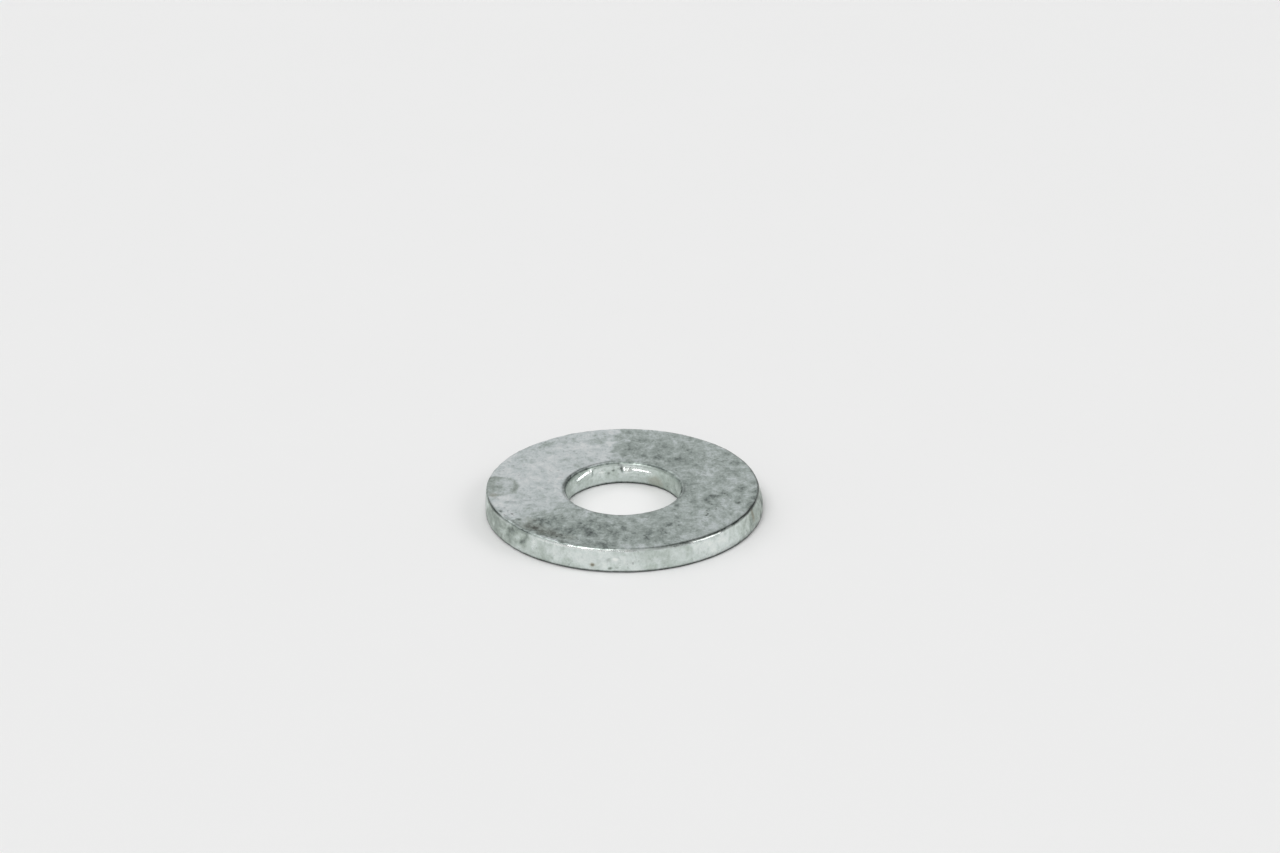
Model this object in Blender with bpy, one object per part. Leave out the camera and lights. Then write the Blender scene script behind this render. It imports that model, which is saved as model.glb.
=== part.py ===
"""Plain flat washer for a half-inch bolt, punched from steel strip and galvanised.

The whole object is one stamped ring. The hole was pierced and the disc then blanked from the
same side, so the bore's upper edge is drawn over and the rim's upper edge is crisp, with the
wall below it leaning out where the steel broke away. The origin is on the bore's axis, at the
lower face, and +Z runs along that axis. Lengths are in metres.
"""

import math

import bmesh
import bpy
from mathutils import Vector

# Driving dimensions
OUTER_DIAMETER = 0.0349
BORE_DIAMETER = 0.0143
THICKNESS = 0.00305

# Rim: a sheared land below, a leaning break above it
RIM_LAND_TOP = 0.00120          # height where the break starts
RIM_BREAK_LEAN = 0.00042        # how far the break leans in by the upper edge
RIM_UPPER_RADIUS = 0.00015
RIM_LOWER_RADIUS = 0.00035

# Bore: a drawn-over upper edge, a sheared land, and a break that opens downwards
BORE_ROLL_REACH = 0.00060       # how far the drawn-over edge reaches across the upper face
BORE_ROLL_DEPTH = 0.00045
BORE_LAND_FOOT = 0.00120        # height where the break starts
BORE_BREAK_LEAN = 0.00010
BORE_LOWER_RADIUS = 0.00015

# Fineness of the turned solid
SEGMENTS_ROUND = 128
SEGMENTS_PER_EDGE = 3

# Zinc finish
ZINC_COLOUR = (0.44, 0.47, 0.47, 1.0)
ZINC_ROUGHNESS = 0.48
ZINC_METALLIC = 0.85

SMOOTH_UP_TO = math.radians(35)
QUARTER_TURN = math.pi / 2


def clear_scene():
    for old in list(bpy.data.objects):
        bpy.data.objects.remove(old, do_unlink=True)


def galvanised_zinc():
    material = bpy.data.materials.new("galvanised_zinc")
    material.use_nodes = True
    shader = material.node_tree.nodes["Principled BSDF"]
    shader.inputs["Base Color"].default_value = ZINC_COLOUR
    shader.inputs["Roughness"].default_value = ZINC_ROUGHNESS
    shader.inputs["Metallic"].default_value = ZINC_METALLIC
    material.diffuse_color = ZINC_COLOUR
    return material


def edge_arc(centre_x, centre_z, reach_x, reach_z, start_angle):
    """Points of a quarter ellipse in the XZ plane, turning from start_angle towards +Z from +X."""
    arc = []
    for step in range(SEGMENTS_PER_EDGE + 1):
        angle = start_angle + QUARTER_TURN * step / SEGMENTS_PER_EDGE
        x = centre_x + reach_x * math.cos(angle)
        z = centre_z + reach_z * math.sin(angle)
        arc.append(Vector((x, 0, z)))
    return arc


def rim_outline():
    """The ring's outer side, from the lower face up to the upper face."""
    outer = OUTER_DIAMETER / 2
    upper = RIM_UPPER_RADIUS
    lower = RIM_LOWER_RADIUS
    outline = edge_arc(outer - lower, lower, lower, lower, -QUARTER_TURN)
    outline.append(Vector((outer, 0, RIM_LAND_TOP)))
    outline += edge_arc(outer - RIM_BREAK_LEAN - upper, THICKNESS - upper, upper, upper, 0)
    return outline


def bore_outline():
    """The ring's inner side, from the upper face down to the lower face."""
    bore = BORE_DIAMETER / 2
    lower = BORE_LOWER_RADIUS
    foot = bore + BORE_BREAK_LEAN
    outline = edge_arc(
        bore + BORE_ROLL_REACH, THICKNESS - BORE_ROLL_DEPTH, BORE_ROLL_REACH, BORE_ROLL_DEPTH, QUARTER_TURN
    )
    outline.append(Vector((bore, 0, BORE_LAND_FOOT)))
    outline += edge_arc(foot + lower, lower, lower, lower, 2 * QUARTER_TURN)
    return outline


def turned_mesh(name, outline):
    """A closed outline turned once round the Z axis."""
    shape = bmesh.new()
    corners = [shape.verts.new(point) for point in outline]
    edges = [shape.edges.new((corners[i - 1], corners[i])) for i in range(len(corners))]
    bmesh.ops.spin(
        shape,
        geom=corners + edges,
        cent=(0, 0, 0),
        axis=(0, 0, 1),
        angle=2 * math.pi,
        steps=SEGMENTS_ROUND,
        use_merge=True,
    )
    bmesh.ops.recalc_face_normals(shape, faces=shape.faces[:])
    mesh = bpy.data.meshes.new(name)
    shape.to_mesh(mesh)
    shape.free()
    mesh.shade_smooth()
    mesh.set_sharp_from_angle(angle=SMOOTH_UP_TO)
    return mesh


def flat_washer():
    mesh = turned_mesh("flat_washer", rim_outline() + bore_outline())
    mesh.materials.append(galvanised_zinc())
    washer = bpy.data.objects.new("flat_washer", mesh)
    bpy.context.scene.collection.objects.link(washer)
    return washer


clear_scene()
flat_washer()
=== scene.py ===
import math

import bpy
import numpy as np
from mathutils import Matrix, Vector, noise


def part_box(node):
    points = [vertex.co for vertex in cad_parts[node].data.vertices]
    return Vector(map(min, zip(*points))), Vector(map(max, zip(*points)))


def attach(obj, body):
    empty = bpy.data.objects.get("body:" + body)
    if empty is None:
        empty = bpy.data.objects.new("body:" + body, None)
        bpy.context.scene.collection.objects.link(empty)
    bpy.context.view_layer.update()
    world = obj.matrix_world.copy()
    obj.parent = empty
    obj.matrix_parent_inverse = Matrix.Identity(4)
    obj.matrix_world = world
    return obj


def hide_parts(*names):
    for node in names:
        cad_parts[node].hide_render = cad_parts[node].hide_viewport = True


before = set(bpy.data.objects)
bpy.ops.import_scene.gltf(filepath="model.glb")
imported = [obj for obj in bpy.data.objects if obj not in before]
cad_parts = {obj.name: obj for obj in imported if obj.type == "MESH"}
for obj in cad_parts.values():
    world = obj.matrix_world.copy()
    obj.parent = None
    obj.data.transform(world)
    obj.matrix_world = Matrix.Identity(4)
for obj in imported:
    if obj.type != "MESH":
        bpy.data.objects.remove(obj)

# The looks of a hot-dip galvanised flat washer. A finely meshed ring, with its uneven rims, zinc
# lumps, folds and pits, stands for the plain CAD ring in the same place and at the same size.
# Angles round the ring are in degrees: 0 is +X, 90 the far side, 180 -X and 270 the near side.

MM = 0.001
TURN = 2 * math.pi
QUARTER_TURN = math.pi / 2

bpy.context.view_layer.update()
_, cad_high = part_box("flat_washer")
ring_points = np.array([v.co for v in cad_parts["flat_washer"].data.vertices])
THICKNESS = cad_high.z
OUTER = cad_high.x              # radius of the rim
BORE = float(np.hypot(ring_points[:, 0], ring_points[:, 1]).min())      # radius of the bore

# Fineness of the mesh
STEPS_ROUND = 568
STEPS_TOP = 50
STEPS_UNDERSIDE = 24
STEPS_RIM_LAND = 9
STEPS_RIM_BREAK = 24
STEPS_BORE_LAND = 12
STEPS_BORE_BREAK = 28
STEPS_CORNER = 7
CROWDING = 0.55                 # how much closer the rings of points lie near the edges

# Section of the punched ring
LAND_TOP = 1.2 * MM             # height on the rim where the sheared land ends and the break starts
LAND_FOOT = 1.2 * MM            # the same on the bore's wall, where the break is below
BORE_BREAK_LEAN = 0.10 * MM     # how far the bore's break opens downwards
BORE_LOWER_RADIUS = 0.15 * MM
BORE_OFF_CENTRE = (-0.08 * MM, -0.30 * MM)
ZINC_ALLOWANCE = 0.02 * MM      # the bare shape is this much smaller, so the coating ends at size
MOST_ABOVE_TOP = 0.05 * MM      # zinc stands no higher than this above the CAD's upper face

# Sizes of the section in mm, which then vary a little round the ring
RIM_BREAK_LEAN = 0.40
RIM_UPPER_RADIUS = 0.15
RIM_LOWER_RADIUS = 0.24
BORE_ROLL_REACH = 0.58
BORE_ROLL_DEPTH = 0.46


# ---- smooth falloffs and random fields ----

def smooth_share(share):
    """0 to 1, with a level start and end."""
    return share * share * (3 - 2 * share)


def degrees_from(angle, middle):
    """Signed angle from the middle one, -180 to 180."""
    return (angle - middle + 180) % 360 - 180


def wave(angle, middle, width):
    """1 at the middle angle, falling smoothly to 0 at width away from it. Angles are in degrees."""
    away = np.abs(degrees_from(angle, middle))
    return smooth_share(np.clip(1 - away / width, 0, 1))


def step_up(value, start, end):
    """0 up to start, 1 from end on, and smooth between them."""
    return smooth_share(np.clip((value - start) / (end - start), 0, 1))


def bell(distance):
    return np.exp(-distance * distance)


SEED_SHIFT = (17.3, 5.1, 9.7)   # how far apart the fields of two seeds lie, in waves


def field(points, size, seed, octaves=3, stretch=(1, 1, 1)):
    """A smooth random value, about -1 to 1, at each point. Size is that of one wave, in mm."""
    scale = np.array(stretch) / (size * MM)
    shifted = points * scale + np.array(SEED_SHIFT) * seed
    flat = shifted.reshape(-1, 3)
    values = [noise.fractal(Vector(place), 1.0, 2.0, octaves) for place in flat]
    return np.array(values).reshape(points.shape[:-1])


# ---- shape of the bare ring ----

def corner(r, z, reach_r, reach_z, start):
    """A quarter ellipse about (r, z) at each angle round the ring, from start towards +Z from +R."""
    bend = start + np.linspace(0, QUARTER_TURN, STEPS_CORNER + 1)
    across = r[:, None] + reach_r[:, None] * np.cos(bend)
    up = z[:, None] + reach_z[:, None] * np.sin(bend)
    return across, up


def straight(before, after, steps, crowding=0.0):
    """Points between the end of one stretch and the start of the next, without either end."""
    even = np.linspace(0, 1, steps + 1)[1:-1]
    share = even * (1 - crowding) + crowding * (1 - np.cos(math.pi * even)) / 2
    return [a[:, -1:] * (1 - share) + b[:, :1] * share for a, b in zip(before, after)]


def rim_corners(angle, ragged):
    """The rim's lower corner, the top of its land, and its upper corner, worn at the near left."""
    same = np.ones_like(angle)
    outer = OUTER - ZINC_ALLOWANCE
    low = ZINC_ALLOWANCE
    top = THICKNESS - ZINC_ALLOWANCE
    worn = 0.33 * wave(angle, 222, 55) + 0.05 * wave(angle, 140, 70)
    upper = (RIM_UPPER_RADIUS + worn + 0.04 * ragged) * MM
    lower = (RIM_LOWER_RADIUS + 0.05 * ragged) * MM
    lean = RIM_BREAK_LEAN + 0.10 * np.cos(np.radians(angle)) - 0.15 * wave(angle, 172, 62)
    lean = (lean + 0.05 * ragged) * MM
    low_out = corner(outer - lower, low + lower, lower, lower, -QUARTER_TURN)
    land_out = [outer * same[:, None], LAND_TOP * (1 + 0.15 * ragged[:, None])]
    top_out = corner(outer - lean - upper, top - upper, upper, upper, 0)
    return low_out, land_out, top_out


def bore_corners(ragged):
    """The bore's drawn-over upper corner, the start of its land, and its lower corner."""
    same = np.ones_like(ragged)
    bore = BORE + ZINC_ALLOWANCE
    low = ZINC_ALLOWANCE
    top = THICKNESS - ZINC_ALLOWANCE
    reach = (BORE_ROLL_REACH + 0.10 * ragged) * MM
    depth = (BORE_ROLL_DEPTH + 0.08 * ragged) * MM
    lower = BORE_LOWER_RADIUS * same
    foot = bore + BORE_BREAK_LEAN * same
    top_in = corner(bore + reach, top - depth, reach, depth, QUARTER_TURN)
    land_in = [bore * same[:, None], LAND_FOOT * (1 + 0.2 * ragged[:, None])]
    low_in = corner(foot + lower, low + lower, lower, lower, math.pi)
    return top_in, land_in, low_in


def section(angle):
    """Radius and height of each point (round, along the section), from the rim's lower corner up,
    across the upper face, down the bore and back below."""
    turn = np.radians(angle)
    outer = OUTER - ZINC_ALLOWANCE
    rim = np.stack([outer * np.cos(turn), outer * np.sin(turn), 0 * turn], axis=-1)
    ragged = field(rim, size=6, seed=1)
    low_out, land_out, top_out = rim_corners(angle, ragged)
    top_in, land_in, low_in = bore_corners(ragged)
    parts = [
        low_out,
        straight(low_out, land_out, STEPS_RIM_LAND),
        land_out,
        straight(land_out, top_out, STEPS_RIM_BREAK),
        top_out,
        straight(top_out, top_in, STEPS_TOP, CROWDING),
        top_in,
        straight(top_in, land_in, STEPS_BORE_BREAK),
        land_in,
        straight(land_in, low_in, STEPS_BORE_LAND),
        low_in,
        straight(low_in, low_out, STEPS_UNDERSIDE, CROWDING),
    ]
    r = np.concatenate([part[0] for part in parts], axis=1)
    z = np.concatenate([part[1] for part in parts], axis=1)
    return r, z


def ring_grid():
    """Points (round, along the section, xyz) of the ring, and each one's angle and radius in mm
    before the bore is moved off centre."""
    turn = np.linspace(0, TURN, STEPS_ROUND, endpoint=False)
    angle = np.degrees(turn)
    r, z = section(angle)
    outer = OUTER - ZINC_ALLOWANCE
    bore = BORE + ZINC_ALLOWANCE
    inward = np.clip((outer - r) / (outer - bore), 0, 1)
    x = r * np.cos(turn)[:, None] + BORE_OFF_CENTRE[0] * inward
    y = r * np.sin(turn)[:, None] + BORE_OFF_CENTRE[1] * inward
    return np.stack([x, y, z], axis=-1), angle[:, None] + 0 * r, r / MM


def outward(points):
    """Unit normals of the grid, away from the steel."""
    along = np.roll(points, -1, axis=1) - np.roll(points, 1, axis=1)
    round_ring = np.roll(points, -1, axis=0) - np.roll(points, 1, axis=0)
    normal = np.cross(round_ring, along)
    return normal / np.linalg.norm(normal, axis=-1, keepdims=True)


# ---- marks on the zinc, and light and shade painted onto it ----

# Of these marks, the dark one holds painted shade in seams, creases, pits and along the lower edges,
# besides some grime.
PAINTED_MARKS = ("tone", "shade_and_grime", "rust", "shine", "pepper", "wall")
LEVEL = (0.75, 0.97)            # a face begins at the first share of its normal along Z
UPRIGHT = (0.5, 0.9)            # a wall begins at the first share of its normal along the radius
PATCH_EDGE = (0.2, 1.6)         # a patch fades out between these shares of its half sizes
PATCH_RAGGEDNESS = 0.8
LUMP_EDGE = (0.0, 1.3)          # and a lump between these
LUMP_RAGGEDNESS = 0.12


class Surface:
    """Where each point of the grid is, in degrees and mm, and the marks painted and raised there."""

    def __init__(self, points, angle, r):
        self.points = points
        self.normal = outward(points)
        self.angle = angle
        self.r = r
        self.z = points[..., 2] / MM
        self.upper = step_up(self.normal[..., 2], *LEVEL)
        self.under = step_up(-self.normal[..., 2], *LEVEL)
        facing_out = (points[..., :2] * self.normal[..., :2]).sum(axis=-1) / (self.r * MM)
        self.outside = step_up(facing_out, *UPRIGHT)
        self.inside = step_up(-facing_out, *UPRIGHT)
        self.ragged = field(points, size=1.3, seed=2, octaves=5)
        self.wavy = field(points, size=0.8, seed=9, octaves=2)
        self.height = np.zeros_like(self.r)
        self.tone = np.zeros_like(self.r)
        self.shade_and_grime = np.zeros_like(self.r)
        self.rust = np.zeros_like(self.r)
        self.shine = np.zeros_like(self.r)
        self.pepper = np.zeros_like(self.r)
        self.wall = self.outside + self.inside

    def away(self, angle, r, z, wide, deep, tall):
        """Distance from a place, as a share of the half sizes round, in and up, which are in mm."""
        around = np.radians(degrees_from(self.angle, angle)) * self.r
        inwards = self.r - r
        upwards = self.z - z
        return np.sqrt((around / wide) ** 2 + (inwards / deep) ** 2 + (upwards / tall) ** 2)

    def patch(self, *place_and_sizes):
        """1 in the middle of a patch of colour with ragged edges, and 0 outside it."""
        away = self.away(*place_and_sizes) + PATCH_RAGGEDNESS * self.ragged
        return 1 - step_up(away, *PATCH_EDGE)

    def lump(self, *place_and_sizes):
        """1 at the top of a smooth lump, and 0 outside it."""
        away = self.away(*place_and_sizes) + LUMP_RAGGEDNESS * self.wavy
        return 1 - step_up(away, *LUMP_EDGE)


# Where patches lie, in mm
TOP = 3.05
RIM = 17.3
TOP_PATCH_TALL = 1.0
SIDE_PATCH_DEEP = 1.5

# Patches on the upper face: angle, radius, half length round the ring, half width, lightness
TOP_PATCHES = (
    (250, 13.2, 6.5, 3.6, -0.10),
    (234, 14.4, 3.6, 1.4, -0.09),
    (268, 11.6, 5.0, 2.8, -0.05),
    (251, 14.6, 1.5, 0.8, 0.10),
    (235, 15.6, 3.2, 0.7, -0.10),
    (226, 15.9, 4.2, 0.7, -0.08),
    (221, 16.5, 2.2, 0.8, -0.11),
    (0, 8.1, 1.8, 0.5, -0.14),
    (83, 11.0, 1.3, 3.2, -0.12),
    (48, 9.8, 2.6, 1.4, -0.12),
    (62, 12.6, 3.2, 1.8, -0.06),
    (8, 12.0, 2.0, 1.6, -0.06),
    (342, 11.6, 1.1, 0.9, -0.22),
    (341, 15.0, 0.5, 0.5, -0.26),
    (356, 14.5, 0.8, 0.6, -0.18),
    (329, 10.8, 0.6, 0.4, -0.15),
    (322, 13.5, 0.6, 0.3, -0.20),
    (298, 11.7, 1.3, 0.4, -0.12),
    (321, 8.5, 0.45, 0.30, -0.14),
    (342, 16.4, 1.4, 0.5, -0.24),
    (19, 16.0, 1.3, 0.8, 0.16),
    (312, 14.6, 4.0, 1.5, 0.07),
    (103, 14.2, 0.5, 1.9, -0.18),
    (103, 10.2, 0.9, 0.8, -0.10),
    (125, 15.9, 1.8, 0.4, -0.10),
    (203, 16.6, 0.4, 0.3, -0.35),
    (214, 15.6, 0.4, 0.3, -0.30),
    (228, 13.6, 1.6, 0.3, -0.14),
    (221, 14.5, 1.2, 0.3, -0.12),
    (206, 15.4, 2.2, 0.7, 0.10),
    (285, 13.0, 6.0, 4.0, -0.045),
    (195, 10.5, 3.0, 2.0, -0.05),
    (138, 15.6, 7.0, 1.8, -0.08),
)

# Marks on the outer side, some of them painted light: angle, height, half length round the ring, half
# height, lightness
SIDE_PATCHES = (
    # painted reflections of the lit floor and lights: this and the next
    (258, 1.6, 3.4, 1.4, 0.12),
    (312, 1.6, 4.2, 1.4, 0.14),
    (225, 2.3, 0.7, 1.0, -0.20),
    (220, 2.7, 2.2, 0.5, -0.16),
    # painted shade where the side faces away from the light: this and the next two
    (200, 1.6, 5.5, 1.8, -0.30),
    (343, 1.6, 5.0, 1.6, -0.23),
    (2, 1.6, 4.0, 1.8, -0.22),
    (264, 0.6, 0.25, 0.2, -0.35),
    # painted glint
    (266, 1.8, 0.4, 0.15, 0.25),
    (238, 1.0, 0.9, 0.5, -0.14),
    (281, 2.2, 1.6, 0.5, -0.12),
)

# Lightness of the zinc before the patches, from 0, black, to 1, fresh and bright
FACE_TONE = 0.54
PALE_FACE_TONE = 0.27           # more than this on the pale half of the upper face
RIM_TONE = 0.66
BORE_TONE = 0.52


def pale_half(skin):
    """1 on the pale half of the upper face, from a slanting border at the far side to 226 degrees."""
    border = 97 - 0.9 * (skin.r - 9) + 5 * skin.ragged
    past_border = step_up(skin.angle, border, border + 5)
    return past_border * (1 - step_up(skin.angle + 9 * skin.ragged, 200, 226))


def ring_tone(skin):
    """Lightness of the faces and walls, and of the patches on them, with painted light on the bore's
    far wall and on parts of the outer side.
    """
    skin.tone += skin.upper * (FACE_TONE + PALE_FACE_TONE * pale_half(skin))
    skin.tone += skin.under * FACE_TONE
    skin.tone += skin.outside * RIM_TONE
    # the bore's far wall painted paler, as light falling on it
    far_wall_painted_light = 0.12 * wave(skin.angle, 110, 70) + 0.10 * wave(skin.angle, 70, 38)
    skin.tone += skin.inside * (BORE_TONE + far_wall_painted_light)
    for angle, r, wide, deep, change in TOP_PATCHES:
        skin.tone += skin.upper * change * skin.patch(angle, r, TOP, wide, deep, TOP_PATCH_TALL)
    for angle, z, wide, tall, change in SIDE_PATCHES:
        skin.tone += skin.outside * change * skin.patch(angle, RIM, z, wide, SIDE_PATCH_DEEP, tall)


STAIN_MIDDLE = (-16.0, 0.4, TOP)
STAIN_RADIUS = 2.6
STAIN_EDGE = 0.32


def stain(skin):
    """A tide mark, darker at its edge, that reaches in from the rim on the -X side."""
    away = np.linalg.norm(skin.points - np.array(STAIN_MIDDLE) * MM, axis=-1) / MM + 0.25 * skin.ragged
    edge = bell((away - STAIN_RADIUS) / STAIN_EDGE)
    within = 1 - step_up(away, 2.4, 2.9)
    within = within * (0.6 + 0.5 * step_up(skin.r, 15.2, 16.6))
    skin.tone -= skin.upper * (0.15 * edge + 0.28 * within)
    skin.rust += skin.upper * (0.06 * within + 0.06 * edge)
    skin.rust += 0.25 * skin.upper * skin.patch(188, 16.3, TOP, 0.9, 0.5, TOP_PATCH_TALL)


# Seams, in mm, painted dark as shade: the rim's, and the line round the drawn-over edge of the bore
SEAM_RADIUS = 16.97
SEAM_HALF_WIDTH = 0.16
SEAM_DEPTH = 0.045
BORE_SHADE_LINE_RADIUS = 7.66

# Where each seam's painted shade shows, besides the rim's near +X side: strength, middle angle, half
# width in degrees
SEAM_STRETCHES = ((0.8, 199, 17), (0.7, 50, 75), (0.75, 8, 60), (0.45, 140, 60))
BORE_SHADE_LINE_STRETCHES = ((0.68, 152, 88), (0.45, 345, 45), (0.30, 250, 70))


def seam_radius(skin):
    """Radius in mm of the line where the upper face meets the rim."""
    seam = SEAM_RADIUS - 0.10 * np.cos(np.radians(skin.angle)) - 0.24 * wave(skin.angle, 235, 50)
    return seam + 0.15 * wave(skin.angle, 172, 62)


def rim_seam_and_painted_shade(skin):
    """A fine folded seam where the upper face meets the rim, painted dark as shade, most of all on the
    near +X side.
    """
    away = (skin.r - seam_radius(skin) - 0.04 * skin.ragged) / SEAM_HALF_WIDTH
    line = bell(away) * step_up(skin.z, 2.6, 2.85)
    strength = step_up(skin.angle, 256, 300) * (1 - step_up(skin.angle, 335, 355))
    for share, middle, width in SEAM_STRETCHES:
        strength = strength + share * wave(skin.angle, middle, width)
    strength *= 1 + 0.18 * skin.ragged
    skin.height -= SEAM_DEPTH * line * strength
    # painted shade in the seam
    skin.shade_and_grime += 0.95 * line * strength


def worn_rim(skin):
    """The worn edge of the rim, paler partly from wear and partly as a painted highlight, a bevel at
    the near left with a dark stain over part of it.
    """
    bevel = wave(skin.angle, 228, 34)
    inner = seam_radius(skin) - 0.62 * bevel * (0.75 + skin.ragged)
    edge = step_up(skin.z, 2.5, 2.8) * step_up(skin.r, inner + 0.10, inner + 0.25)
    # paler edge: partly worn zinc, partly a painted highlight; darker at 222 degrees from the stain
    skin.tone += edge * (0.26 * wave(skin.angle, 217, 68) - 0.30 * wave(skin.angle, 222, 13))
    skin.shade_and_grime += 0.50 * skin.upper * bevel * bell((skin.r - inner) / 0.18)
    skin.shine += edge * (0.6 - 1.1 * wave(skin.angle, 218, 30))


def painted_shade_round_bore(skin):
    """A darker, duller band and a dark line of painted shade round the drawn-over edge of the bore."""
    roll = step_up(skin.z, 2.5, 2.75) * (1 - step_up(skin.r, 7.6, 8.0)) * wave(skin.angle, 142, 78)
    # painted shade on the rolled edge
    skin.tone -= 0.16 * roll
    skin.shine -= roll
    left = wave(skin.angle, 170, 60)
    away = (skin.r - BORE_SHADE_LINE_RADIUS + 0.14 * left - 0.06 * skin.ragged) / (0.14 + 0.05 * left)
    line = bell(away) * step_up(skin.z, 2.6, 2.9)
    strength = 0.12 + 0.1 * skin.ragged
    for share, middle, width in BORE_SHADE_LINE_STRETCHES:
        strength = strength + share * wave(skin.angle, middle, width)
    # painted shade as a dark line
    skin.shade_and_grime += line * strength


def painted_shade_at_foot(skin):
    """Painted contact shadow along the lower edges, reaching higher up the rim at the near right."""
    # painted shade where the washer meets the floor
    skin.shade_and_grime += 0.9 * (1 - skin.under) * (1 - step_up(skin.z, 0.16, 0.42))
    near_right = wave(skin.angle, 340, 55) * (1 - step_up(skin.z + 0.3 * skin.ragged, 0.35, 0.95))
    skin.shade_and_grime += 0.35 * skin.outside * near_right


# Lumps of zinc: angle, radius, height, half sizes round, in and up, how far it stands out
LUMPS = (
    (112, 7.25, 1.90, 0.5, 0.5, 0.30, 0.04),
    (230, 17.2, 1.90, 0.6, 0.8, 0.90, 0.06),
    (20, 17.3, 1.20, 0.7, 0.8, 0.80, 0.06),
    (64, 17.3, 1.60, 0.9, 0.8, 1.00, 0.05),
    (118, 17.3, 0.90, 0.8, 0.8, 0.60, 0.07),
    (151, 17.3, 1.80, 1.0, 0.8, 0.90, 0.05),
)

# Laps where the zinc folded over itself on a wall, with a painted highlight on the upper flank: from
# angle and height, to angle and height, radius, half height of the step and how far it stands out
LAPS = (
    (145, 2.12, 126, 2.50, 7.2, 0.22, 0.24),
    (88.4, 2.16, 84.8, 2.14, 7.2, 0.26, 0.37),
    (79, 2.12, 62, 2.02, 7.2, 0.18, 0.19),
    (205, 1.90, 232, 2.30, 7.2, 0.40, 0.10),
    (290, 1.60, 318, 2.10, 7.2, 0.40, 0.10),
    (244, 2.76, 256, 2.82, 17.1, 0.10, 0.05),
    (260, 2.82, 274, 2.80, 17.1, 0.09, 0.06),
    (291, 2.82, 313, 2.80, 17.0, 0.09, 0.08),
    (72, 2.50, 92, 2.40, 17.2, 0.45, 0.05),
)

# Creases down a wall, with shade painted dark inside: from angle and height, to angle and height,
# radius, half width and depth
CREASES = (
    (226, 2.70, 224, 1.50, 17.2, 0.24, 0.05),
    (338.5, 2.80, 337.5, 1.70, 17.2, 0.16, 0.04),
    (36, 2.60, 37, 1.40, 17.2, 0.20, 0.05),
    (160, 2.60, 158, 1.60, 17.2, 0.20, 0.05),
)

# Pits, in the same terms as lumps, with how deep they go; shade is painted into them by their depth
PITS = (
    (105, 7.20, 1.65, 0.25, 0.5, 0.20, 0.06),
    (100, 7.20, 1.98, 0.22, 0.5, 0.16, 0.06),
    (91.6, 7.20, 2.34, 0.30, 0.6, 0.48, 0.07),
    (94, 7.30, 2.80, 0.26, 0.6, 0.26, 0.06),
    (257, 17.4, 0.92, 0.22, 0.5, 0.18, 0.07),
    (264, 17.4, 0.60, 0.20, 0.5, 0.16, 0.06),
    (203, 16.6, 3.05, 0.28, 0.25, 0.5, 0.07),
    (214, 15.6, 3.05, 0.26, 0.22, 0.5, 0.06),
    (341, 15.0, 3.05, 0.30, 0.28, 0.5, 0.05),
    (322, 13.5, 3.05, 0.40, 0.18, 0.5, 0.04),
)

NEAR_WALL = 0.9                 # points this near a wall's radius, in mm, belong to its folds
FAR_AWAY = 9.0                  # stands for any distance too great to matter
LAP_END = 0.6                   # a lap dies out over this length past its ends, in mm
LAP_FOOT = 1.3                  # and this far below its line
SHADE_PER_PIT_DEPTH = 10
SHADE_PER_CREASE_DEPTH = 5


def beside_line(skin, start, start_z, end, end_z, r):
    """How far in mm each point is past either end of a line along a wall, and how far below it."""
    along = (skin.angle - start) / (end - start)
    share = np.clip(along, 0, 1)
    past = np.radians(np.abs((along - share) * (end - start))) * r
    below = start_z + (end_z - start_z) * share - skin.z + 0.045 * skin.wavy
    on_wall = np.abs(skin.r - r) < NEAR_WALL
    return np.where(on_wall, past, FAR_AWAY), below


def laps(skin):
    for start, start_z, end, end_z, r, half_height, stands in LAPS:
        past, below = beside_line(skin, start, start_z, end, end_z, r)
        ends = 1 - step_up(past, 0.0, LAP_END)
        step = step_up(below, -half_height, half_height)
        skin.height += stands * ends * step * (1 - step_up(below, half_height, LAP_FOOT))
        flank = ends * bell(below / half_height)
        skin.shine += 0.6 * flank
        # painted highlight: the flank is paler where the lights catch it
        skin.tone += 0.20 * flank


def creases(skin):
    for start, start_z, end, end_z, r, half_width, depth in CREASES:
        angle = start + (end - start) * np.clip((start_z - skin.z) / (start_z - end_z), 0, 1)
        across = np.radians(degrees_from(skin.angle, angle)) * r + 0.10 * skin.wavy
        beyond = np.clip(end_z - skin.z, 0, None) + np.clip(skin.z - start_z, 0, None)
        away = np.where(np.abs(skin.r - r) < NEAR_WALL, np.hypot(across, beyond), FAR_AWAY)
        crease = 1 - step_up(away / half_width, 0.0, 1.5)
        skin.height -= depth * crease
        # painted shade, deeper where the crease is deeper
        skin.shade_and_grime += SHADE_PER_CREASE_DEPTH * depth * crease


def lumps_and_pits(skin):
    for *place_and_sizes, stands in LUMPS:
        lump = skin.lump(*place_and_sizes)
        skin.height += stands * lump
        skin.shine += 0.8 * lump
        skin.tone += 0.2 * lump
    for *place_and_sizes, depth in PITS:
        pit = skin.lump(*place_and_sizes)
        skin.height -= depth * pit
        # painted shade, deeper where the pit is deeper
        skin.shade_and_grime += SHADE_PER_PIT_DEPTH * depth * pit


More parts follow.
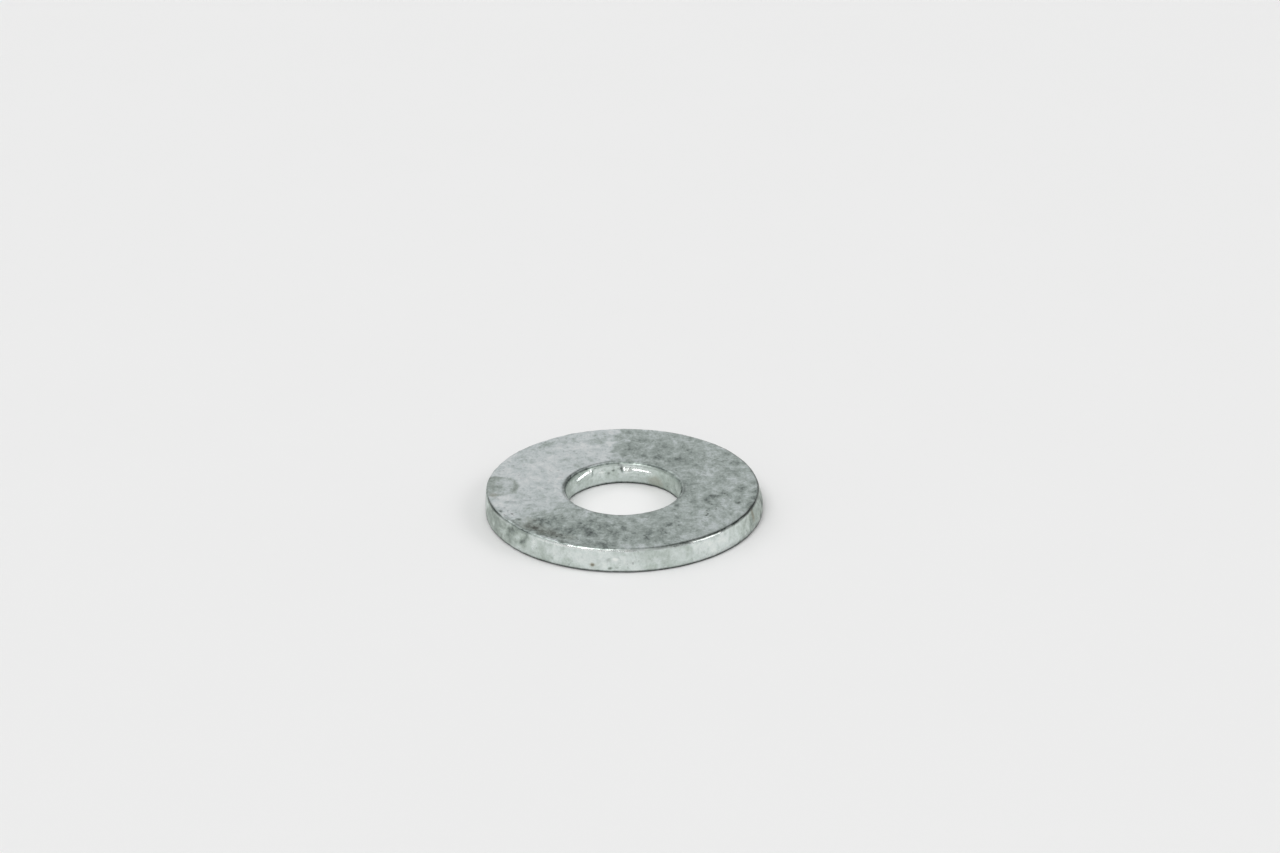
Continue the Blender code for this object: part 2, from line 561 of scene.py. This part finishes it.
def coating(skin):
    """The unevenness of the zinc: slow swells, grit, runs down the walls, dross and shallow dents."""
    smooth = 1 - 0.9 * np.clip(1.4 * skin.shine, 0, 1)
    skin.height += 0.020 * field(skin.points, size=5.5, seed=3)
    skin.height += 0.016 * field(skin.points, size=1.3, seed=4) * smooth
    skin.height += 0.006 * field(skin.points, size=0.45, seed=5) * smooth
    runs = field(skin.points, size=1.5, seed=6, stretch=(1, 1, 0.22))
    skin.height += 0.022 * runs * skin.wall
    skin.tone += 0.05 * runs * skin.wall
    dross = np.clip(field(skin.points, size=0.9, seed=7, octaves=2) - 0.28, 0, 1)
    skin.height += 0.07 * dross * np.maximum(skin.upper, skin.under)
    dents = np.clip(field(skin.points, size=2.1, seed=8, octaves=2) - 0.42, 0, 1)
    skin.height -= 0.12 * dents


def rust_marks(skin):
    skin.rust += 0.9 * skin.patch(257, 17.4, 0.95, 0.25, 0.8, 0.22)
    skin.rust += 0.5 * skin.patch(338, 17.3, 2.3, 0.25, 0.8, 0.7)
    skin.rust += 0.14 * skin.upper * skin.patch(230, 15.4, TOP, 4.0, 1.0, TOP_PATCH_TALL)
    skin.rust += 0.35 * skin.inside * skin.patch(57, 7.2, 0.9, 1.2, 0.8, 0.6)


# Where the zinc is peppered with fine dark specks: angle, radius, half length round, half width
PEPPERED = (
    (325, 12.8, 2.6, 1.4),
    (303, 12.0, 2.2, 0.9),
    (345, 13.5, 2.4, 1.4),
    (240, 15.6, 4.0, 0.9),
    (205, 16.0, 1.6, 0.8),
    (30, 14.0, 3.0, 1.5),
)


def pepper(skin):
    skin.pepper += 0.15 + 0.5 * skin.ragged
    for angle, r, wide, deep in PEPPERED:
        skin.pepper += 0.95 * skin.upper * skin.patch(angle, r, TOP, wide, deep, TOP_PATCH_TALL)


# ---- the mesh ----

def marked_surface():
    skin = Surface(*ring_grid())
    ring_tone(skin)
    stain(skin)
    rim_seam_and_painted_shade(skin)
    worn_rim(skin)
    painted_shade_round_bore(skin)
    painted_shade_at_foot(skin)
    laps(skin)
    creases(skin)
    lumps_and_pits(skin)
    coating(skin)
    rust_marks(skin)
    pepper(skin)
    return skin


def grid_faces(rounds, along):
    """Four corners of each face of a grid that closes on itself both ways."""
    index = np.arange(rounds * along).reshape(rounds, along)
    ahead = np.roll(index, -1, axis=0)
    corners = [index, ahead, np.roll(ahead, -1, axis=1), np.roll(index, -1, axis=1)]
    return np.stack(corners, axis=-1).reshape(-1, 4)


def washer_mesh():
    skin = marked_surface()
    points = skin.points + skin.normal * skin.height[..., None] * MM
    points[..., 2] = np.clip(points[..., 2], 0, THICKNESS + MOST_ABOVE_TOP)
    mesh = bpy.data.meshes.new("galvanised_ring")
    mesh.from_pydata(points.reshape(-1, 3), [], grid_faces(*points.shape[:2]))
    for name in PAINTED_MARKS:
        layer = mesh.attributes.new(name, "FLOAT", "POINT")
        layer.data.foreach_set("value", getattr(skin, name).astype(np.float32).ravel())
    mesh.update()
    mesh.shade_smooth()
    return mesh


# ---- materials ----

class Nodes:
    """Short ways to add shader nodes to one material."""

    def __init__(self, name):
        self.material = bpy.data.materials.new(name)
        self.material.use_nodes = True
        self.tree = self.material.node_tree
        self.shader = self.tree.nodes["Principled BSDF"]
        self.place = self.tree.nodes.new("ShaderNodeTexCoord").outputs["Object"]

    @classmethod
    def within(cls, tree):
        """The same short ways in a node tree that is already there."""
        short = cls.__new__(cls)
        short.tree = tree
        return short

    def put(self, value, socket):
        """Gives the socket a plain value, or links the output of another node to it."""
        if isinstance(value, (int, float, tuple)):
            socket.default_value = value
        else:
            self.tree.links.new(value, socket)

    def noise(self, size, detail=3.0, roughness=0.55, distortion=0.0, drawn=1.0):
        """Noise with waves of this size in mm, about 0 to 1, drawn out along Y as the zinc drained."""
        stretched = self.tree.nodes.new("ShaderNodeMapping")
        self.put(self.place, stretched.inputs["Vector"])
        stretched.inputs["Scale"].default_value = (1, 1 / drawn, 1)
        node = self.tree.nodes.new("ShaderNodeTexNoise")
        self.put(stretched.outputs[0], node.inputs["Vector"])
        node.inputs["Scale"].default_value = 1 / (size * MM)
        node.inputs["Detail"].default_value = detail
        node.inputs["Roughness"].default_value = roughness
        node.inputs["Distortion"].default_value = distortion
        return node.outputs["Fac"]

    def crystals(self, size):
        """Flat cells of this size in mm, each 0 to 1, with bent and broken edges."""
        bend = self.tree.nodes.new("ShaderNodeTexNoise")
        self.put(self.place, bend.inputs["Vector"])
        bend.inputs["Scale"].default_value = 2.2 / (size * MM)
        shift = self.tree.nodes.new("ShaderNodeVectorMath")
        shift.operation = "MULTIPLY_ADD"
        self.put(bend.outputs["Color"], shift.inputs[0])
        shift.inputs[1].default_value = (0.55 * size * MM,) * 3
        self.put(self.place, shift.inputs[2])
        cells = self.tree.nodes.new("ShaderNodeTexVoronoi")
        self.put(shift.outputs[0], cells.inputs["Vector"])
        cells.inputs["Scale"].default_value = 1 / (size * MM)
        parts = self.tree.nodes.new("ShaderNodeSeparateColor")
        self.put(cells.outputs["Color"], parts.inputs[0])
        return parts.outputs[0]

    def spread(self, value, low, high, to_low, to_high):
        """The value moved from the range low to high to the range to_low to to_high, and kept in it."""
        node = self.tree.nodes.new("ShaderNodeMapRange")
        node.clamp = True
        for socket, number in zip(node.inputs, (value, low, high, to_low, to_high)):
            self.put(number, socket)
        return node.outputs[0]

    def maths(self, operation, first, second):
        node = self.tree.nodes.new("ShaderNodeMath")
        node.operation = operation
        self.put(first, node.inputs[0])
        self.put(second, node.inputs[1])
        return node.outputs[0]

    def plus(self, total, value, share):
        """total + (value - 0.5) * share, for a noise that is about 0.5 on average."""
        node = self.tree.nodes.new("ShaderNodeMath")
        node.operation = "MULTIPLY_ADD"
        self.put(value, node.inputs[0])
        self.put(share, node.inputs[1])
        self.put(self.maths("SUBTRACT", total, share / 2), node.inputs[2])
        return node.outputs[0]

    def mark(self, name):
        """One of the marks painted on the mesh."""
        node = self.tree.nodes.new("ShaderNodeAttribute")
        node.attribute_name = name
        return node.outputs["Fac"]

    def ramp(self, value, stops):
        node = self.tree.nodes.new("ShaderNodeValToRGB")
        self.put(value, node.inputs["Fac"])
        elements = node.color_ramp.elements
        while len(elements) < len(stops):
            elements.new(1.0)
        for element, (place, colour) in zip(elements, stops):
            element.position = place
            element.color = (*colour, 1.0)
        return node.outputs["Color"]

    def blend(self, share, first, second, how="MIX"):
        """The first colour where the share is 0, and where it is 1 the second, or both multiplied."""
        node = self.tree.nodes.new("ShaderNodeMix")
        node.data_type = "RGBA"
        node.blend_type = how
        self.put(share, node.inputs["Factor"])
        self.put(first, node.inputs[6])
        self.put(second, node.inputs[7])
        return node.outputs[2]

    def bump(self, height, depth, strength, before=None):
        """Relief too shallow for the mesh; depth is in mm for a height of 0 to 1."""
        node = self.tree.nodes.new("ShaderNodeBump")
        node.inputs["Distance"].default_value = depth * MM
        self.put(strength, node.inputs["Strength"])
        self.put(height, node.inputs["Height"])
        if before is not None:
            self.put(before, node.inputs["Normal"])
        return node.outputs["Normal"]


ZINC_TONES = (
    (0.00, (0.035, 0.045, 0.043)),
    (0.20, (0.170, 0.200, 0.190)),
    (0.40, (0.370, 0.425, 0.400)),
    (0.55, (0.510, 0.575, 0.550)),
    (0.75, (0.700, 0.760, 0.765)),
    (1.00, (0.880, 0.915, 0.915)),
)
WALL_TINT = (1.0, 1.0, 0.965, 1.0)
# colour of the painted shade and of the grime
SHADE_AND_GRIME_COLOUR = (0.035, 0.042, 0.038, 1.0)
RUST_COLOUR = (0.30, 0.25, 0.16, 1.0)
CALMER_ON_WALLS = 0.62          # share of the mottling's contrast that the walls keep


def zinc_tone(zinc, cloud, mottle, grain):
    """The painted lightness with clouds, mottling, grain and crystals over it."""
    mottled = zinc.plus(0.0, cloud, 0.58)
    mottled = zinc.plus(mottled, mottle, 0.75)
    mottled = zinc.plus(mottled, grain, 0.40)
    mottled = zinc.plus(mottled, zinc.crystals(1.1), 0.13)
    mottled = zinc.plus(mottled, zinc.crystals(0.42), 0.11)
    calmer = zinc.spread(zinc.mark("wall"), 0, 1, 1, CALMER_ON_WALLS)
    return zinc.maths("ADD", zinc.mark("tone"), zinc.maths("MULTIPLY", mottled, calmer))


def zinc_colour(zinc, tone, grain):
    """The tone's grey, a little warmer on the walls, then rust, and last the painted shade with grime
    and dark specks.
    """
    colour = zinc.ramp(tone, ZINC_TONES)
    colour = zinc.blend(zinc.mark("wall"), colour, WALL_TINT, "MULTIPLY")
    colour = zinc.blend(zinc.spread(zinc.mark("rust"), 0, 1, 0, 0.9), colour, RUST_COLOUR)
    specks = zinc.noise(0.5, detail=2.0, roughness=0.5, distortion=0.2)
    specks = zinc.maths("MULTIPLY", zinc.spread(specks, 0.40, 0.30, 0, 0.8), zinc.mark("pepper"))
    dark = zinc.maths("ADD", zinc.mark("shade_and_grime"), specks)
    dark = zinc.maths("MULTIPLY", dark, zinc.spread(grain, 0.3, 0.7, 1.1, 0.85))
    return zinc.blend(zinc.spread(dark, 0, 1, 0, 1), colour, SHADE_AND_GRIME_COLOUR)


def zinc_roughness(zinc, tone, grain):
    """Smoother where the zinc is pale or shines, and slightly on the walls."""
    rough = zinc.spread(tone, 0.25, 0.8, 0.50, 0.33)
    rough = zinc.plus(rough, grain, 0.14)
    rough = zinc.maths("SUBTRACT", rough, zinc.spread(zinc.mark("shine"), -1, 1, -0.18, 0.18))
    return zinc.maths("SUBTRACT", rough, zinc.spread(zinc.mark("wall"), 0, 1, 0, 0.03))


def zinc_material():
    zinc = Nodes("galvanised_zinc")
    cloud = zinc.noise(3.2, detail=3.0, roughness=0.6, distortion=0.6, drawn=1.4)
    mottle = zinc.noise(1.0, detail=4.0, roughness=0.62, distortion=0.3, drawn=1.7)
    grain = zinc.noise(0.28, detail=3.0, roughness=0.6, drawn=1.5)
    dust = zinc.noise(0.10, detail=2.0, roughness=0.5)
    tone = zinc_tone(zinc, cloud, mottle, grain)
    zinc.put(zinc_colour(zinc, tone, grain), zinc.shader.inputs["Base Color"])
    zinc.put(zinc_roughness(zinc, tone, grain), zinc.shader.inputs["Roughness"])
    zinc.put(zinc.spread(tone, 0.2, 0.6, 0.82, 0.96), zinc.shader.inputs["Metallic"])
    strength = zinc.spread(zinc.mark("shine"), 0, 1, 1, 0.25)
    relief = zinc.bump(mottle, 0.014, strength)
    relief = zinc.bump(grain, 0.008, strength, relief)
    relief = zinc.bump(dust, 0.003, strength, relief)
    zinc.put(relief, zinc.shader.inputs["Normal"])
    return zinc.material


PAPER_TONES = (
    (0.0, (0.855, 0.855, 0.853)),
    (1.0, (0.865, 0.865, 0.864)),
)
PAPER_IN_BORE = (0.935, 0.935, 0.933, 1.0)
LIT_IN_BORE = (0.6, 1.1)        # the paler paper fades out between these shares of the bore's radius


def floor_material():
    """Plain paper, a little brighter inside the bore, where the zinc throws light on it."""
    paper = Nodes("pale_floor")
    plain = paper.ramp(paper.noise(30.0, detail=2.0), PAPER_TONES)
    distance = paper.tree.nodes.new("ShaderNodeVectorMath")
    distance.operation = "LENGTH"
    paper.put(paper.place, distance.inputs[0])
    inner, outer = LIT_IN_BORE
    lit = paper.spread(distance.outputs["Value"], inner * BORE, outer * BORE, 1, 0)
    colour = paper.blend(lit, plain, PAPER_IN_BORE)
    paper.put(colour, paper.shader.inputs["Base Color"])
    paper.shader.inputs["Roughness"].default_value = 0.6
    paper.shader.inputs["Specular IOR Level"].default_value = 0.2
    return paper.material


# ---- stage, lights and camera ----

FLOOR_RADIUS = 6.0
FLOOR_DROP = 0.01 * MM          # the floor lies just below the washer


def floor():
    bpy.ops.mesh.primitive_circle_add(
        vertices=64,
        radius=FLOOR_RADIUS,
        fill_type="NGON",
        location=(0, 0, -FLOOR_DROP),
    )
    plane = bpy.context.object
    plane.name = "floor"
    plane.data.materials.append(floor_material())


# Brightness of the surroundings by the sine of the height above the horizon
SKY_STOPS = ((0.0, 0.835), (0.10, 0.80), (0.22, 0.68), (0.5, 0.70), (0.85, 0.08))

# Darker gaps in them: bearing in degrees, the cosines where each gap starts and is whole, and how
# much darker it is by the sine of the height
GAPS = ((150, 0.74, 0.93), (45, 0.82, 0.96))
GAP_STOPS = ((0.0, 0.0), (0.07, 0.0), (0.15, 0.6), (0.36, 0.6), (0.55, 0.0))

# Broad far lights: name, direction towards it, width across in degrees, strength
LIGHTS = (
    ("key", (-0.32, -0.48, 0.80), 32, 0.88),
    ("side", (0.76, -0.06, 0.65), 28, 0.56),
    ("overhead", (0.05, 0.0, 1.0), 66, 0.66),
    ("back", (-0.56, 0.32, 0.77), 30, 0.35),
)


def grey_stops(stops):
    return [(place, (grey, grey, grey)) for place, grey in stops]


def gap_in_sky(sky, parts, bearing, start, whole):
    """How much darker the surroundings are in one gap, from 0."""
    turn = math.radians(bearing)
    towards_x = sky.maths("MULTIPLY", parts.outputs["X"], math.cos(turn))
    towards_y = sky.maths("MULTIPLY", parts.outputs["Y"], math.sin(turn))
    facing = sky.maths("ADD", towards_x, towards_y)
    by_height = sky.ramp(parts.outputs["Z"], grey_stops(GAP_STOPS))
    return sky.maths("MULTIPLY", sky.spread(facing, start, whole, 0, 1), by_height)


def studio_world():
    """Soft light from all round, paler at the horizon than overhead, with darker gaps at the back."""
    world = bpy.data.worlds.new("studio")
    bpy.context.scene.world = world
    world.use_nodes = True
    sky = Nodes.within(world.node_tree)
    direction = sky.tree.nodes.new("ShaderNodeTexCoord").outputs["Generated"]
    parts = sky.tree.nodes.new("ShaderNodeSeparateXYZ")
    sky.put(direction, parts.inputs[0])
    open_sky = 1.0
    for gap in GAPS:
        open_sky = sky.maths("SUBTRACT", open_sky, gap_in_sky(sky, parts, *gap))
    colour = sky.ramp(parts.outputs["Z"], grey_stops(SKY_STOPS))
    background = sky.tree.nodes["Background"]
    sky.put(colour, background.inputs["Color"])
    sky.put(open_sky, background.inputs["Strength"])


def soft_light(name, towards, spread, strength):
    light = bpy.data.lights.new(name, "SUN")
    light.angle = math.radians(spread)
    light.energy = strength
    lamp = bpy.data.objects.new(name, light)
    lamp.rotation_euler = Vector(towards).to_track_quat("Z", "Y").to_euler()
    bpy.context.scene.collection.objects.link(lamp)


def lights():
    studio_world()
    for light in LIGHTS:
        soft_light(*light)


CAMERA_ELEVATION = math.radians(26.4)
CAMERA_DISTANCE = 22 * OUTER
CAMERA_LENS = 86.0
CAMERA_SENSOR = 36.0
CAMERA_CLIP = (0.01, 50.0)
AIM_ABOVE = math.radians(1.12)      # the washer sits below the middle of the view
AIM_RIGHT = math.radians(0.300)     # and a little to the left of it
CAMERA_ROLL = math.radians(0.61)


def camera():
    data = bpy.data.cameras.new("camera")
    data.lens = CAMERA_LENS
    data.sensor_width = CAMERA_SENSOR
    data.clip_start, data.clip_end = CAMERA_CLIP
    view = bpy.data.objects.new("camera", data)
    centre = Vector((0, 0, THICKNESS))
    away = Vector((0, -math.cos(CAMERA_ELEVATION), math.sin(CAMERA_ELEVATION)))
    place = centre + CAMERA_DISTANCE * away
    facing = (centre - place).to_track_quat("-Z", "Y").to_matrix().to_4x4()
    aim = Matrix.Rotation(AIM_ABOVE, 4, "X") @ Matrix.Rotation(-AIM_RIGHT, 4, "Y")
    roll = Matrix.Rotation(-CAMERA_ROLL, 4, "Z")
    view.matrix_world = Matrix.Translation(place) @ facing @ roll @ aim
    bpy.context.scene.collection.objects.link(view)
    bpy.context.scene.camera = view


# ---- the whole scene ----

def washer():
    mesh = washer_mesh()
    mesh.materials.append(zinc_material())
    piece = bpy.data.objects.new("galvanised_ring", mesh)
    bpy.context.scene.collection.objects.link(piece)
    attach(piece, "root")
    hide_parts("flat_washer")


washer()
floor()
lights()
camera()
bpy.context.scene.view_settings.view_transform = "Standard"
